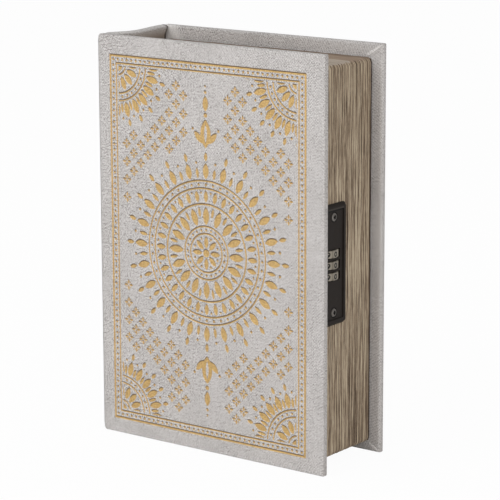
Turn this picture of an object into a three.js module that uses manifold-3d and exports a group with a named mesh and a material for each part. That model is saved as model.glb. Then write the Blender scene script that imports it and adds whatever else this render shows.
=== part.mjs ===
// Book safe: a hollow page block in a cloth case, closed by a lock with three dials.
// Millimetres. X runs from the spine to the fore-edge, Y from the front cover to the back, Z up.

import * as THREE from 'three';
import { mergeVertices } from 'three/addons/utils/BufferGeometryUtils.js';
import Module from 'manifold-3d';

const wasm = await Module();
wasm.setup();

// Case
const coverHeight = 240;
const coverWidth = 163;
const bookThickness = 61;
const coverThickness = 4;
const clothThickness = 0.6;
const coverEdgeRound = 1.5;
const spineEdgeRound = 3.5;
const spineCornerRound = 3;
const turnInWidth = 15;
const liningThickness = 0.5;
const glueGap = 0.1;
const closingGap = 0.3;

// Spine strip and the cloth joint beside it
const spineThickness = 3;
const spineHollow = 7.6;
const spineRound = 1.3;
const spineGap = 0.3;
const jointGap = 1.4;
const jointClothThickness = 0.6;
const jointShort = 0.6;
const backCoverSet = 3.5;

// Page block and the compartment in it
const headSquare = 8.5;
const tailSquare = 6.3;
const foreSquare = 7.3;
const spineClearance = 0.7;
const blockWall = 12.3;
const pageCornerRound = 3;
const gatheringCount = 13;
const gatheringRough = 0.45;
const gatheringBevel = 0.35;
const gatheringBite = 0.15;
const compartmentRound = 3;
const linerThickness = 1.2;
const linerRecess = 1.4;
const floorThickness = 1;
const endpaperThickness = 0.4;

// Lock plate
const lockInset = 13.7;
const plateHeight = 70;
const plateWidth = 24.4;
const plateThickness = 2.2;
const plateRim = 3.4;
const plateChamfer = 1.4;
const plateCorner = 2.4;
const panelDepth = 0.6;
const panelCorner = 0.8;
const windowWidth = 11.6;
const windowMargin = 0.3;
const reliefDepth = 0.8;
const reliefMargin = 1.1;
const plateSeat = 0.1;

// Dials, their cams and the axle
const dialCount = 3;
const dialPitch = 6.45;
const dialRadius = 8.5;
const dialHeight = 4.4;
const dialProud = 1.2;
const dialBevel = 0.3;
const digitCount = 10;
const grooveDepth = 0.6;
const grooveAngleShare = 0.22;
const camRadius = 6.2;
const camFlat = 2.2;
const camThickness = 1.1;
const camSleeveRadius = 3;
const camSeat = 0.1;
const axleRadius = 1.5;
const axleClearance = 0.15;
const axleHeadRadius = 2.6;
const axleHeadHeight = 0.9;
const clipRadius = 2.9;
const clipThickness = 0.6;
const clipOpening = 2.2;
const axleTail = 1.2;

// Lock housing
const housingWall = 1.2;
const housingClearance = 0.8;
const springRoom = 1.8;
const earWidth = 17;
const earHeight = 65;
const earThickness = 1.2;
const bossRadius = 3.3;
const bossLength = 9;
const housingSeat = 0.1;
const pocketGap = 0.3;

// Detent spring
const springThickness = 0.3;
const springBow = 1;
const springStandoff = 0.3;
const springFingerHeight = 3.4;
const springFootLength = 2.6;
const springReach = 5;
const springSeat = 0.05;

// Plate screws
const screwSpacing = 55;
const screwHeadRadius = 2.4;
const screwHeadHeight = 1.1;
const screwShankRadius = 1.3;
const screwLength = 9.5;
const screwPoint = 1.6;
const screwRecessRadius = 2.9;
const screwRecessDepth = 0.5;
const screwClearance = 0.15;
const screwHeadSeat = 0.05;
const crossWidth = 0.7;
const crossLength = 2.7;
const crossDepth = 0.8;

// Catch on the front cover
const hookThickness = 1.1;
const hookShank = 1.6;
const hookReach = 3;
const hookDepth = 2;
const hookPlay = 0.4;
const hookLead = 0.6;
const camRunningGap = 0.9;
const footWidth = 16;
const footHeight = 30;
const footThickness = 1.2;
const footCorner = 2;
const catchSlotGap = 0.5;
const rivetRadius = 1.5;
const rivetHeadRadius = 2.8;
const rivetHeadHeight = 1.1;
const rivetInset = 6;
const rivetGap = 0.1;

// Shared values for cuts and for joining triangles
const overrun = 1;
const weldDistance = 0.0001;

// Places that follow from the sizes
const backInner = bookThickness - coverThickness;
const hingeX = 0;
const hingeY = coverThickness + jointGap / 2;
const foreEdge = coverWidth - foreSquare;
const blockFront = coverThickness + closingGap;
const blockBack = backInner - endpaperThickness - 2 * glueGap;
const blockTail = tailSquare;
const blockHead = coverHeight - headSquare;
const blockSpine = spineHollow + spineThickness + spineClearance;
const roomSpine = blockSpine + blockWall;
const roomFore = foreEdge - blockWall;
const roomTail = blockTail + blockWall;
const roomHead = blockHead - blockWall;
const panelFace = foreEdge + plateSeat + plateThickness - panelDepth;
const lockZ = (blockTail + blockHead) / 2;
const axisY = coverThickness + lockInset;
const axisX = panelFace + dialProud - dialRadius;
const dialGap = dialPitch - dialHeight;
const firstDialZ = lockZ + dialPitch * (dialCount - 1) / 2;
const lastDialZ = firstDialZ - dialPitch * (dialCount - 1);
const stackTop = firstDialZ + dialHeight / 2 + housingClearance;
const stackBottom = lastDialZ - dialHeight / 2 - dialGap - housingClearance;
const housingBack = axisX - dialRadius - housingClearance;
const housingFront = axisY - dialRadius - housingClearance;
const housingRear = axisY + dialRadius + springRoom;
const housingFace = foreEdge - housingSeat;
const axleSeat = stackTop + housingWall + camSeat;
const axleTop = axleSeat + axleHeadHeight;
const axleBottom = stackBottom - housingWall - clipThickness - axleTail;
const shankFace = axisX - camRadius - camRunningGap;
const hookTip = shankFace + hookReach;
const catchY = axisY + Math.sqrt(camRadius ** 2 - (axisX - hookTip) ** 2) + hookPlay;
const hookEnd = catchY + hookDepth;
const hookSweep = Math.hypot(hookTip - hingeX, hookEnd - hingeY) + hingeX - hookTip;
const combTop = firstDialZ - dialPitch / 2 + hookThickness / 2;
const combBottom = lastDialZ - dialPitch / 2 - hookThickness / 2;

// Outer line of the spine seen from above: how far in, and how far along, as shares
const spineLineShares = [
  [0.04, 0], [0.15, 0.07], [0.6, 0.19], [0.94, 0.305], [1, 0.42],
  [0.82, 0.6], [0.58, 0.79], [0.49, 0.9], [0.46, 1],
];

// Finishes
const finishes = {
  cloth: { color: 0xbfbdbb, roughness: 0.95, metalness: 0 },
  board: { color: 0x8f8577, roughness: 0.9, metalness: 0 },
  lining: { color: 0x3a3230, roughness: 0.9, metalness: 0 },
  pages: { color: 0x857563, roughness: 0.9, metalness: 0 },
  flock: { color: 0x1d1b1b, roughness: 1, metalness: 0 },
  plate: { color: 0x2d2826, roughness: 0.5, metalness: 0.6 },
  zinc: { color: 0x8d8c88, roughness: 0.5, metalness: 0.9 },
  steel: { color: 0xb5b3ae, roughness: 0.35, metalness: 1 },
  dial: { color: 0xa39e93, roughness: 0.35, metalness: 0.9 },
  brass: { color: 0xb08d4f, roughness: 0.4, metalness: 1 },
};

// A closed geometry as a solid for cutting and joining
function solidOf(geometry) {
  const bare = geometry.clone();
  bare.deleteAttribute('normal');
  bare.deleteAttribute('uv');
  const welded = mergeVertices(bare, weldDistance);
  return new wasm.Manifold(new wasm.Mesh({
    numProp: 3,
    vertProperties: new Float32Array(welded.attributes.position.array),
    triVerts: new Uint32Array(welded.index.array),
  }));
}

// A named piece from a solid
function piece(name, finish, solid) {
  const cut = solid.getMesh();
  const geometry = new THREE.BufferGeometry();
  geometry.setAttribute('position', new THREE.BufferAttribute(cut.vertProperties, 3));
  geometry.setIndex(new THREE.BufferAttribute(cut.triVerts, 1));
  geometry.computeVertexNormals();
  const mesh = new THREE.Mesh(geometry, new THREE.MeshStandardMaterial(finishes[finish]));
  mesh.name = name;
  return mesh;
}

function joined(solids) {
  return solids.reduce((sum, next) => sum.add(next));
}

// A flat outline drawn out between two levels, with rounded rims where a bevel is given
function drawnOut(outline, low, high, bevel = 0, bevelSegments = 3, curveSegments = 4) {
  const geometry = new THREE.ExtrudeGeometry(outline, {
    depth: high - low - 2 * bevel,
    bevelEnabled: bevel > 0,
    bevelThickness: bevel,
    bevelSize: bevel,
    bevelOffset: -bevel,
    bevelSegments,
    curveSegments,
  });
  return geometry.translate(0, 0, low + bevel);
}

// The same along each axis: outlines are drawn in XY, XZ and YZ
function alongZ(outline, low, high, ...rim) {
  return solidOf(drawnOut(outline, low, high, ...rim));
}

function alongY(outline, low, high, ...rim) {
  return solidOf(drawnOut(outline, -high, -low, ...rim).rotateX(Math.PI / 2));
}

function alongX(outline, low, high, ...rim) {
  const turn = new THREE.Matrix4().makeBasis(
    new THREE.Vector3(0, 1, 0), new THREE.Vector3(0, 0, 1), new THREE.Vector3(1, 0, 0));
  return solidOf(drawnOut(outline, low, high, ...rim).applyMatrix4(turn));
}

// A rectangle whose four corners have their own radii, in order from the low corner
function roundedRectangle(left, bottom, right, top, radii = [0, 0, 0, 0]) {
  const [a, b, c, d] = radii;
  const outline = new THREE.Shape();
  outline.moveTo(left + a, bottom);
  outline.lineTo(right - b, bottom);
  if (b > 0) outline.absarc(right - b, bottom + b, b, -Math.PI / 2, 0);
  outline.lineTo(right, top - c);
  if (c > 0) outline.absarc(right - c, top - c, c, 0, Math.PI / 2);
  outline.lineTo(left + d, top);
  if (d > 0) outline.absarc(left + d, top - d, d, Math.PI / 2, Math.PI);
  outline.lineTo(left, bottom + a);
  if (a > 0) outline.absarc(left + a, bottom + a, a, Math.PI, 1.5 * Math.PI);
  return outline;
}

function disc(u, v, radius) {
  return new THREE.Shape().absarc(u, v, radius, 0, 2 * Math.PI);
}

function block(left, right, front, back, bottom, top) {
  const geometry = new THREE.BoxGeometry(right - left, back - front, top - bottom);
  return solidOf(geometry.translate((left + right) / 2, (front + back) / 2, (bottom + top) / 2));
}

// Cover: a slab with rounded edges, whose long edge at the spine is rounder on the outer face.
// Its outer face is at zero and its inner face at the cover's thickness.
function coverSlab(left, shrink) {
  const outline = roundedRectangle(left - spineEdgeRound, shrink, coverWidth - shrink, coverHeight - shrink);
  const slab = alongY(outline, shrink, coverThickness - shrink, coverEdgeRound - shrink, 4);
  const round = spineEdgeRound - shrink;
  const near = left + shrink;
  const section = roundedRectangle(near, shrink, coverWidth + overrun, coverThickness + overrun, [round, 0, 0, 0]);
  const corner = spineCornerRound - shrink;
  const face = roundedRectangle(near, shrink, coverWidth + overrun, coverHeight - shrink, [corner, 0, 0, corner]);
  return slab
    .intersect(alongZ(section, -overrun, coverHeight + overrun))
    .intersect(alongY(face, -overrun, coverThickness + overrun));
}

// Opening that the turned in cloth leaves on the inner face
function turnInOpening(left, gap, front, back) {
  const near = left + turnInWidth + gap;
  const far = coverWidth - turnInWidth - gap;
  const outline = roundedRectangle(near, turnInWidth + gap, far, coverHeight - turnInWidth - gap);
  return alongY(outline, front, back);
}

function coverCloth(left) {
  const pocketInset = clothThickness;
  const inner = coverThickness - clothThickness;
  return coverSlab(left, 0)
    .subtract(coverSlab(left, pocketInset))
    .subtract(turnInOpening(left, 0, inner - glueGap, coverThickness + overrun));
}

function coverBoard(left, holes) {
  const board = coverSlab(left, clothThickness + glueGap);
  return holes ? board.subtract(holes) : board;
}

function coverLining(left, holes) {
  const back = coverThickness - glueGap / 2;
  const lining = turnInOpening(left, closingGap, back - liningThickness, back);
  return holes ? lining.subtract(holes) : lining;
}

// Spine line: a smooth curve through the shares, straight beyond both ends
const spineFront = coverThickness + jointGap;
const spineBack = backInner - spineGap;
const spineCurve = new THREE.SplineCurve(spineLineShares.map(([depth, along]) =>
  new THREE.Vector2(depth * spineHollow, THREE.MathUtils.lerp(spineFront, spineBack, along))));

function spinePoint(station, depth) {
  const inside = THREE.MathUtils.clamp(station, 0, 1);
  const tangent = spineCurve.getTangent(inside);
  const point = spineCurve.getPoint(inside);
  point.addScaledVector(tangent, (station - inside) * (spineBack - spineFront));
  return [point.x + tangent.y * depth, point.y - tangent.x * depth];
}

// A strip carried along the spine line, with a rounded rectangle as its section
function spineStrip(shallow, deep, bottom, top, round, spread = 0, stations = 26) {
  const section = roundedRectangle(shallow, bottom, deep, top, [round, round, round, round]);
  const ring = section.extractPoints(2).shape;
  const last = ring[ring.length - 1];
  if (last.distanceTo(ring[0]) < weldDistance) ring.pop();
  const vertices = [];
  for (let i = 0; i <= stations; i += 1) {
    const station = THREE.MathUtils.lerp(-spread, 1 + spread, i / stations);
    for (const corner of ring) {
      const [x, y] = spinePoint(station, corner.x);
      vertices.push(x, y, corner.y);
    }
  }
  const count = ring.length;
  const faces = [];
  for (let i = 0; i < stations; i += 1) {
    for (let j = 0; j < count; j += 1) {
      const here = i * count + j;
      const next = i * count + (j + 1) % count;
      faces.push(here, here + count, next, next, here + count, next + count);
    }
  }
  for (const [a, b, c] of THREE.ShapeUtils.triangulateShape(ring, [])) {
    faces.push(a, b, c);
    faces.push(stations * count + a, stations * count + c, stations * count + b);
  }
  const geometry = new THREE.BufferGeometry();
  geometry.setAttribute('position', new THREE.Float32BufferAttribute(vertices, 3));
  geometry.setIndex(faces);
  return solidOf(geometry);
}

const spineSpreadShare = 0.1;

function spineCloth() {
  const skin = clothThickness;
  const inner = spineThickness - skin;
  const pocket = spineStrip(skin, inner, skin, coverHeight - skin, spineRound - skin, spineSpreadShare);
  const opening = spineStrip(inner - glueGap, spineThickness + overrun,
    turnInWidth, coverHeight - turnInWidth, 0, spineSpreadShare);
  return spineStrip(0, spineThickness, 0, coverHeight, spineRound).subtract(pocket).subtract(opening);
}

function spineBoard() {
  const inset = clothThickness + glueGap;
  return spineStrip(inset, spineThickness - inset, inset, coverHeight - inset, spineRound - inset);
}

// Cloth joint between the front cover and the spine strip
function jointCloth() {
  const low = spineLineShares[0][0] * spineHollow;
  const outline = roundedRectangle(low, coverThickness + spineGap, low + jointClothThickness, spineFront - spineGap);
  return alongZ(outline, jointShort, coverHeight - jointShort);
}

// Page block: gatherings of leaves with slightly different edges, fused into one hollow block
function gatheringInset(index) {
  const turn = 2.4;
  return gatheringRough * (1 + Math.sin(turn * index * index)) / 2;
}

function gatherings() {
  const step = (blockBack - blockFront) / gatheringCount;
  const layers = [];
  for (let index = 0; index < gatheringCount; index += 1) {
    const inset = gatheringInset(index);
    const round = pageCornerRound;
    const outline = roundedRectangle(blockSpine, blockTail + inset, foreEdge - inset, blockHead - inset,
      [0, round, round, 0]);
    const low = blockFront + step * index;
    const high = index === gatheringCount - 1 ? blockBack : low + step + gatheringBite;
    layers.push(alongY(outline, low, high, gatheringBevel, 1, 2));
  }
  return joined(layers);
}

function compartment(gap) {
  const round = compartmentRound - gap;
  return roundedRectangle(roomSpine + gap, roomTail + gap, roomFore - gap, roomHead - gap,
    [round, round, round, round]);
}

// Space for the housing, its ears and bosses, and the catch's way in, grown by a gap
function lockSpace(gap) {
  const box = block(housingBack - housingWall - gap, foreEdge + overrun,
    housingFront - housingWall - gap, housingRear + housingWall + gap,
    stackBottom - housingWall - gap, stackTop + housingWall + gap);
  const ears = block(housingFace - earThickness - gap, foreEdge + overrun,
    axisY - earWidth / 2 - gap, axisY + earWidth / 2 + gap,
    lockZ - earHeight / 2 - gap, lockZ + earHeight / 2 + gap);
  const bosses = [-1, 1].map((side) => alongX(disc(axisY, lockZ + side * screwSpacing / 2, bossRadius + gap),
    housingFace - bossLength - gap, foreEdge));
  const axleEnds = alongZ(disc(axisX, axisY, clipRadius + gap), axleBottom - gap, axleTop + gap, 0, 1, 6);
  return joined([box, ears, axleEnds, ...bosses]);
}

function catchWay(gap) {
  return block(shankFace - hookShank - gap, hookTip + hookSweep + gap, blockFront - overrun,
    housingFront + overrun / 2, combBottom - gap, combTop + gap);
}

function pageBlock() {
  const side = block(roomFore - overrun, hookTip + hookSweep + catchSlotGap, blockFront - overrun,
    housingFront, combBottom - catchSlotGap, combTop + catchSlotGap);
  return gatherings()
    .subtract(alongY(compartment(0), blockFront - overrun, blockBack + overrun))
    .subtract(lockSpace(pocketGap))
    .subtract(side);
}

function compartmentLiner() {
  const front = blockFront + linerRecess;
  return alongY(compartment(glueGap), front, blockBack)
    .subtract(alongY(compartment(glueGap + linerThickness), front - overrun, blockBack + overrun))
    .subtract(lockSpace(pocketGap))
    .subtract(catchWay(catchSlotGap));
}

function compartmentFloor() {
  const outline = compartment(2 * glueGap + linerThickness);
  return alongY(outline, blockBack - floorThickness, blockBack);
}

function backEndpaper() {
  const inset = gatheringRough;
  const outline = roundedRectangle(blockSpine + inset, blockTail + inset, foreEdge - inset, blockHead - inset);
  return alongY(outline, blockBack + glueGap, blockBack + glueGap + endpaperThickness);
}

// Lock plate: chamfered rim, sunk panel, windows for the dials with one relief behind them,
// and seats for the screws
function lockPlate() {
  const back = foreEdge + plateSeat;
  const rimFace = back + plateThickness;
  const outer = roundedRectangle(axisY - plateWidth / 2, lockZ - plateHeight / 2,
    axisY + plateWidth / 2, lockZ + plateHeight / 2, [plateCorner, plateCorner, plateCorner, plateCorner]);
  const slab = alongX(outer, back - plateChamfer, rimFace, plateChamfer, 1);
  const below = block(back - 2 * plateChamfer, back, axisY - plateWidth, axisY + plateWidth,
    lockZ - plateHeight, lockZ + plateHeight);
  const panel = roundedRectangle(axisY - plateWidth / 2 + plateRim, lockZ - plateHeight / 2 + plateRim,
    axisY + plateWidth / 2 - plateRim, lockZ + plateHeight / 2 - plateRim,
    [panelCorner, panelCorner, panelCorner, panelCorner]);
  const relief = block(back - overrun, back + reliefDepth, axisY - windowWidth / 2 - reliefMargin,
    axisY + windowWidth / 2 + reliefMargin, stackBottom, stackTop);
  let plate = slab.subtract(below).subtract(alongX(panel, panelFace, rimFace + overrun)).subtract(relief);
  for (let index = 0; index < dialCount; index += 1) {
    const middle = firstDialZ - dialPitch * index;
    const half = dialHeight / 2 + windowMargin;
    plate = plate.subtract(block(back - overrun, rimFace + overrun,
      axisY - windowWidth / 2, axisY + windowWidth / 2, middle - half, middle + half));
  }
  for (const side of [-1, 1]) {
    const level = lockZ + side * screwSpacing / 2;
    plate = plate
      .subtract(alongX(disc(axisY, level, screwShankRadius + screwClearance), back - overrun, rimFace, 0, 1, 8))
      .subtract(alongX(disc(axisY, level, screwRecessRadius), panelFace - screwRecessDepth, rimFace, 0, 1, 12));
  }
  return plate;
}

// Housing: a box behind the windows, open to them, with two ears and screw bosses
function lockHousing() {
  const outer = block(housingBack - housingWall, housingFace, housingFront - housingWall,
    housingRear + housingWall, stackBottom - housingWall, stackTop + housingWall);
  const room = block(housingBack, housingFace + overrun, housingFront, housingRear, stackBottom, stackTop);
  const ears = block(housingFace - earThickness, housingFace, axisY - earWidth / 2, axisY + earWidth / 2,
    lockZ - earHeight / 2, lockZ + earHeight / 2);
  const levels = [-1, 1].map((side) => lockZ + side * screwSpacing / 2);
  const bosses = levels.map((level) => alongX(disc(axisY, level, bossRadius), housingFace - bossLength,
    housingFace, 0, 1, 8));
  const bores = levels.map((level) => alongX(disc(axisY, level, screwShankRadius + screwClearance),
    housingFace - bossLength - overrun, housingFace + overrun, 0, 1, 8));
  const axleBore = alongZ(disc(axisX, axisY, axleRadius + axleClearance), stackBottom - housingWall - overrun,
    stackTop + housingWall + overrun, 0, 1, 8);
  return joined([outer, ears, ...bosses])
    .subtract(room)
    .subtract(joined(bores))
    .subtract(axleBore)
    .subtract(catchWay(catchSlotGap));
}

function dialAxle() {
  const shaft = new THREE.CylinderGeometry(axleRadius, axleRadius, axleSeat - axleBottom, 24);
  const head = new THREE.CylinderGeometry(axleHeadRadius, axleHeadRadius, axleHeadHeight, 24);
  shaft.rotateX(Math.PI / 2).translate(axisX, axisY, (axleSeat + axleBottom) / 2);
  head.rotateX(Math.PI / 2).translate(axisX, axisY, (axleSeat + axleTop) / 2);
  return solidOf(shaft).add(solidOf(head));
}

// Clip: an open ring under the housing that keeps the axle in
function axleClip() {
  const top = stackBottom - housingWall - camSeat;
  const ring = disc(axisX, axisY, clipRadius);
  ring.holes.push(new THREE.Path().absarc(axisX, axisY, axleRadius + glueGap, 0, 2 * Math.PI));
  const gate = block(axisX - clipOpening / 2, axisX + clipOpening / 2, axisY, axisY + clipRadius + overrun,
    top - clipThickness - overrun, top + overrun);
  return alongZ(ring, top - clipThickness, top, 0, 1, 10).subtract(gate);
}

// Dial: ten flats between grooves, with a bore for the axle, about its own centre
function dialBody() {
  const pitchAngle = 2 * Math.PI / digitCount;
  const halfLand = pitchAngle * (1 - grooveAngleShare) / 2;
  const rim = new THREE.Shape();
  for (let digit = 0; digit < digitCount; digit += 1) {
    const middle = digit * pitchAngle;
    const valley = middle + pitchAngle / 2;
    rim.absarc(0, 0, dialRadius, middle - halfLand, middle + halfLand);
    rim.lineTo((dialRadius - grooveDepth) * Math.cos(valley), (dialRadius - grooveDepth) * Math.sin(valley));
  }
  const bore = alongZ(disc(0, 0, axleRadius + axleClearance), -dialHeight, dialHeight, 0, 1, 8);
  return alongZ(rim, -dialHeight / 2, dialHeight / 2, dialBevel, 1, 2).subtract(bore);
}

// Cam: a disc with one flat on a short sleeve, under its dial, about the dial's centre
function dialCam() {
  const low = -dialHeight / 2 - (dialGap + camThickness) / 2;
  const half = Math.acos(camFlat / camRadius);
  const outline = new THREE.Shape();
  outline.absarc(0, 0, camRadius, half - Math.PI, Math.PI - half);
  const bore = alongZ(disc(0, 0, axleRadius + axleClearance), -dialPitch, dialPitch, 0, 1, 8);
  const sleeve = alongZ(disc(0, 0, camSleeveRadius), low, -dialHeight / 2 - camSeat, 0, 1, 8);
  return alongZ(outline, low, low + camThickness, 0, 1, 14).add(sleeve).subtract(bore);
}

// Detent spring: a foot on the housing's rear wall and one bowed finger for each dial
function detentSpring() {
  const seat = housingRear - springSeat;
  const crest = axisY + dialRadius + springStandoff + springThickness;
  const heel = housingBack + springFootLength;
  const bow = new THREE.SplineCurve([
    new THREE.Vector2(heel, seat), new THREE.Vector2(axisX - springBow, crest),
    new THREE.Vector2(axisX + springBow, crest), new THREE.Vector2(axisX + springReach, seat),
  ]);
  const back = bow.getPoints(14);
  const outline = new THREE.Shape(back);
  [...back].reverse().forEach((point) => outline.lineTo(point.x, point.y - springThickness));
  const foot = block(housingBack + springSeat, heel, seat - springThickness, seat,
    lastDialZ - dialHeight / 2, firstDialZ + dialHeight / 2);
  const fingers = [];
  for (let index = 0; index < dialCount; index += 1) {
    const middle = firstDialZ - dialPitch * index;
    fingers.push(alongZ(outline, middle - springFingerHeight / 2, middle + springFingerHeight / 2));
  }
  return joined([foot, ...fingers]);
}

// Plate screw: domed head with a cross recess, shank and point, along X with its head at the panel
function plateScrew() {
  const seat = panelFace - screwRecessDepth + screwHeadSeat;
  const profile = [
    [0, seat - screwLength], [screwShankRadius, seat - screwLength + screwPoint], [screwShankRadius, seat],
    [screwHeadRadius, seat], [screwHeadRadius, seat + screwHeadHeight / 2],
    [screwHeadRadius * Math.SQRT1_2, seat + screwHeadHeight * 0.9], [0, seat + screwHeadHeight],
  ].map(([radius, level]) => new THREE.Vector2(radius, level));
  const turned = new THREE.LatheGeometry(profile, 20).rotateZ(-Math.PI / 2);
  const top = seat + screwHeadHeight;
  const arms = joined([
    block(top - crossDepth, top + overrun, -crossLength / 2, crossLength / 2, -crossWidth / 2, crossWidth / 2),
    block(top - crossDepth, top + overrun, -crossWidth / 2, crossWidth / 2, -crossLength / 2, crossLength / 2),
  ]);
  return solidOf(turned).subtract(arms);
}

// Catch: a foot on the front cover, a web through the housing's slot and a hook for each cam
function catchComb() {
  const front = coverThickness + glueGap;
  const near = shankFace - hookShank;
  const foot = alongY(roundedRectangle(shankFace - footWidth, lockZ - dialPitch / 2 - footHeight / 2, shankFace,
    lockZ - dialPitch / 2 + footHeight / 2, [footCorner, 0, 0, footCorner]), front, front + footThickness);
  const web = block(near, shankFace, front, housingFront, combBottom, combTop);
  const hook = new THREE.Shape();
  hook.moveTo(near, front);
  hook.lineTo(shankFace, front);
  hook.lineTo(shankFace, catchY);
  hook.lineTo(hookTip, catchY);
  hook.lineTo(hookTip, hookEnd - hookLead);
  hook.lineTo(hookTip - hookLead, hookEnd);
  hook.lineTo(near, hookEnd);
  const hooks = [];
  for (let index = 0; index < dialCount; index += 1) {
    const middle = firstDialZ - dialPitch * (index + 1 / 2);
    hooks.push(alongZ(hook, middle - hookThickness / 2, middle + hookThickness / 2));
  }
  return joined([foot, web, ...hooks]).subtract(rivetHoles(rivetRadius + rivetGap));
}

const rivetX = shankFace - footWidth + rivetInset;
const rivetLevels = [-1, 1].map((side) => lockZ - dialPitch / 2 + side * (footHeight / 2 - rivetInset));

function rivetHoles(radius) {
  return joined(rivetLevels.map((level) => alongY(disc(rivetX, level, radius), clothThickness,
    coverThickness + footThickness + overrun, 0, 1, 6)));
}

// Rivet: its tail spreads in the board and its domed head sits on the catch's foot
function catchRivet(level) {
  const tail = clothThickness + 2 * glueGap;
  const seat = coverThickness + footThickness + 2 * glueGap;
  const profile = [
    [0, tail], [rivetRadius, tail], [rivetRadius, seat], [rivetHeadRadius, seat],
    [rivetHeadRadius * 0.75, seat + rivetHeadHeight * 0.75], [0, seat + rivetHeadHeight],
  ].map(([radius, height]) => new THREE.Vector2(radius, height));
  return solidOf(new THREE.LatheGeometry(profile, 20).translate(rivetX, 0, level));
}

// Front cover with what it carries, in a group that turns about the cloth joint
function makeFrontCover() {
  const cover = new THREE.Group();
  const holes = rivetHoles(rivetRadius + rivetGap);
  const pieces = [
    piece('front_cover_cloth', 'cloth', coverCloth(0)),
    piece('front_cover_board', 'board', coverBoard(0, holes)),
    piece('front_cover_lining', 'lining', coverLining(0, holes)),
    piece('catch_comb', 'steel', catchComb()),
    piece('catch_rivet_lower', 'steel', catchRivet(rivetLevels[0])),
    piece('catch_rivet_upper', 'steel', catchRivet(rivetLevels[1])),
  ];
  pieces.forEach((part) => part.position.set(-hingeX, -hingeY, 0));
  cover.add(...pieces);
  cover.position.set(hingeX, hingeY, 0);
  return cover;
}

// Back cover: the same build turned over, its outer face to the back
function makeBackCover() {
  const cover = new THREE.Group();
  cover.add(
    piece('back_cover_cloth', 'cloth', coverCloth(backCoverSet)),
    piece('back_cover_board', 'board', coverBoard(backCoverSet)),
    piece('back_cover_lining', 'lining', coverLining(backCoverSet)),
  );
  cover.rotation.x = Math.PI;
  cover.position.set(0, bookThickness, coverHeight);
  return cover;
}

function makeCase() {
  const parts = new THREE.Group();
  parts.add(
    makeBackCover(),
    piece('spine_cloth', 'cloth', spineCloth()),
    piece('spine_board', 'board', spineBoard()),
    piece('joint_cloth', 'cloth', jointCloth()),
    piece('page_block', 'pages', pageBlock()),
    piece('back_endpaper', 'lining', backEndpaper()),
    piece('compartment_liner', 'flock', compartmentLiner()),
    piece('compartment_floor', 'flock', compartmentFloor()),
  );
  return parts;
}

// One dial with its cam, in a group that turns about the axle
function makeDial(index) {
  const dial = new THREE.Group();
  dial.add(piece(`dial_${index + 1}`, 'dial', dialBody()), piece(`dial_cam_${index + 1}`, 'brass', dialCam()));
  dial.position.set(axisX, axisY, firstDialZ - dialPitch * index);
  return dial;
}

function makeLock() {
  const lock = new THREE.Group();
  lock.add(
    piece('lock_plate', 'plate', lockPlate()),
    piece('lock_housing', 'zinc', lockHousing()),
    piece('dial_axle', 'steel', dialAxle()),
    piece('axle_clip', 'steel', axleClip()),
    piece('detent_spring', 'brass', detentSpring()),
  );
  ['plate_screw_lower', 'plate_screw_upper'].forEach((name, index) => {
    const screw = piece(name, 'steel', plateScrew());
    screw.position.set(0, axisY, lockZ + (index - 1 / 2) * screwSpacing);
    lock.add(screw);
  });
  for (let index = 0; index < dialCount; index += 1) lock.add(makeDial(index));
  return lock;
}

// The origin is under the middle of the closed book
const bookSafe = new THREE.Group();
bookSafe.add(makeFrontCover(), makeCase(), makeLock());
bookSafe.position.set(-coverWidth / 2, -bookThickness / 2, 0);

export default bookSafe;
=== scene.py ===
import bmesh
import bpy
import numpy as np
from mathutils import Matrix, Vector


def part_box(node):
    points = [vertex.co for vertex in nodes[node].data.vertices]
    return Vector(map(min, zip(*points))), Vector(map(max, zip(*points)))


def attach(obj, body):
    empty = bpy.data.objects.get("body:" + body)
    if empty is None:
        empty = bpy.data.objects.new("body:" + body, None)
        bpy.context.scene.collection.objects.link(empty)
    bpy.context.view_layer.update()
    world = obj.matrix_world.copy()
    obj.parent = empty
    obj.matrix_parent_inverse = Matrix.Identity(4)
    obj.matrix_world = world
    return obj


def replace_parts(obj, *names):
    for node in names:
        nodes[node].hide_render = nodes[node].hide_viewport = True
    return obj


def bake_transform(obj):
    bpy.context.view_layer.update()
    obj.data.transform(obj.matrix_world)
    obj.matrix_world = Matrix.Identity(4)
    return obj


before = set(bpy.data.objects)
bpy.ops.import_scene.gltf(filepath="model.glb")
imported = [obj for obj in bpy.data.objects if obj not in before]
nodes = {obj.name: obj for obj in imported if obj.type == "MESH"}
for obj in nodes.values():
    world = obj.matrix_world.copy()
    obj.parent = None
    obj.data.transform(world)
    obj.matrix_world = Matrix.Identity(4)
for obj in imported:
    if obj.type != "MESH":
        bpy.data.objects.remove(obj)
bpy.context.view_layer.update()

# Book safe, dressed in linen, gilding, page edges and lock finishes. Metres, Z up.
mm = 0.001
tiny = 0.02 * mm

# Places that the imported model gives
frontLow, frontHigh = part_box("front_cover_cloth")
backLow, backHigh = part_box("back_cover_cloth")
spineLow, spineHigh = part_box("spine_cloth")
blockLow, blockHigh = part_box("page_block")
plateLow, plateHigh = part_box("lock_plate")
coverThickness = backHigh.y - backLow.y
bookTop = frontHigh.z
print("frame loaded:", len(nodes), "nodes")


# Node helpers

# Linear colour of a shade written as 0 to 255
def shade(red, green, blue):
    level = np.array([red, green, blue]) / 255
    linear = np.where(level <= 0.04045, level / 12.92, ((level + 0.055) / 1.055) ** 2.4)
    return (*linear.tolist(), 1)


def startMaterial(name):
    material = bpy.data.materials.new(name)
    material.use_nodes = True
    return material, material.node_tree, material.node_tree.nodes["Principled BSDF"]


# Inputs of a node, set to numbers or linked to other nodes
def fill(node, inputs):
    for place, value in dict(inputs).items():
        if isinstance(value, bpy.types.NodeSocket):
            node.id_data.links.new(value, node.inputs[place])
        else:
            node.inputs[place].default_value = value


def addNode(tree, kind, inputs=(), **settings):
    node = tree.nodes.new("ShaderNode" + kind)
    for key, value in settings.items():
        setattr(node, key, value)
    fill(node, inputs)
    return node


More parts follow.
